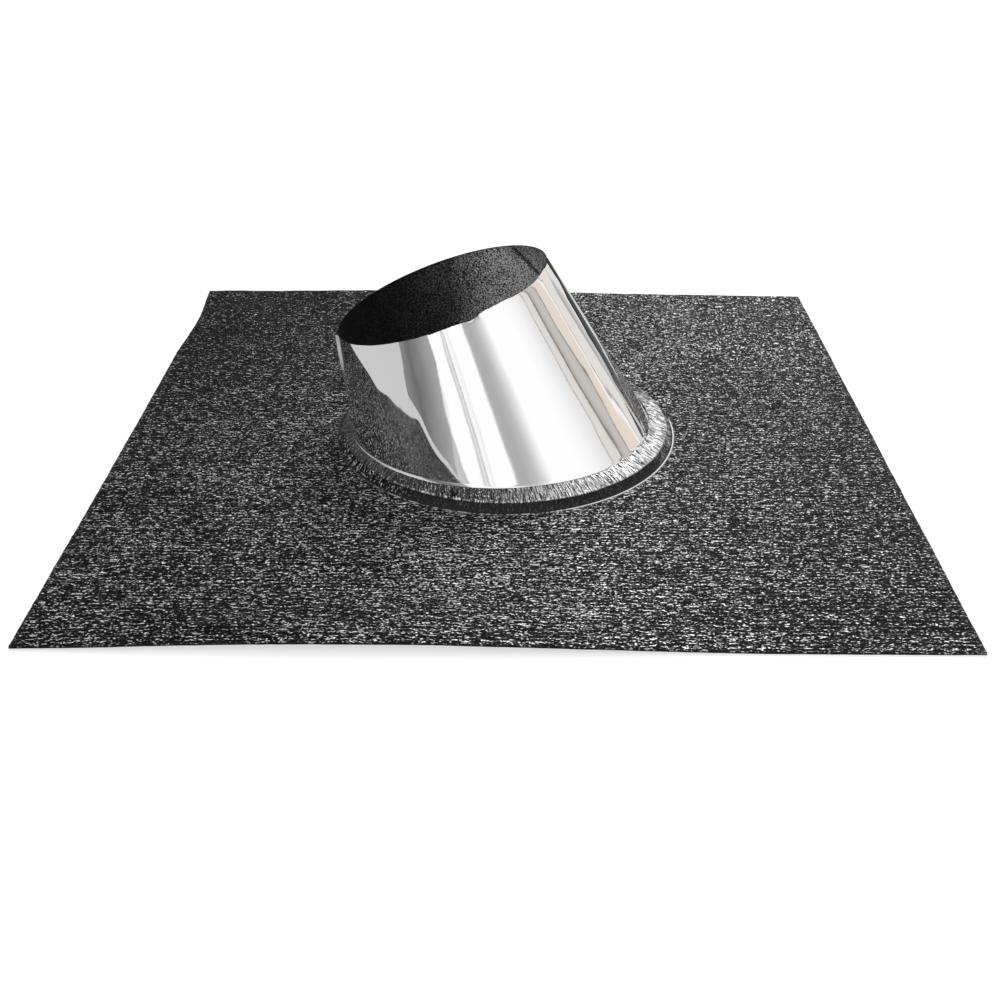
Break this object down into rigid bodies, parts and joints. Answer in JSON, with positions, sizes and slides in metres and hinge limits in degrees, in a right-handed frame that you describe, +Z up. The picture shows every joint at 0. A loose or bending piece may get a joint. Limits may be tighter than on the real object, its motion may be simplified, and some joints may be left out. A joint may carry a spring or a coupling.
{
  "type": "pipe flashing boot",
  "caption": "Square crepe sheet flashing gathered up to an oblique, polished steel cone collar that weathers a round pipe through a pitched roof.",
  "frame": {"origin": "on the surface that the sheet lies on, under the middle of the square sheet", "axes": "+Z up from the roof face, out of the collar's mouth; +X along the sheet towards the long side of the collar, away from the way it leans; +Y across the slope of the collar"},
  "size_m": [0.5, 0.5, 0.1208],
  "materials": {
    "crepe_sheet": "fine crosswise crepe with a dark charcoal, half-glossy coating",
    "polished_steel": "mirror polished stainless sheet"
  },
  "bodies": {
    "root": {"flashing_sheet": "crepe_sheet", "pipe_collar": "polished_steel"}
  },
  "joints": []
}
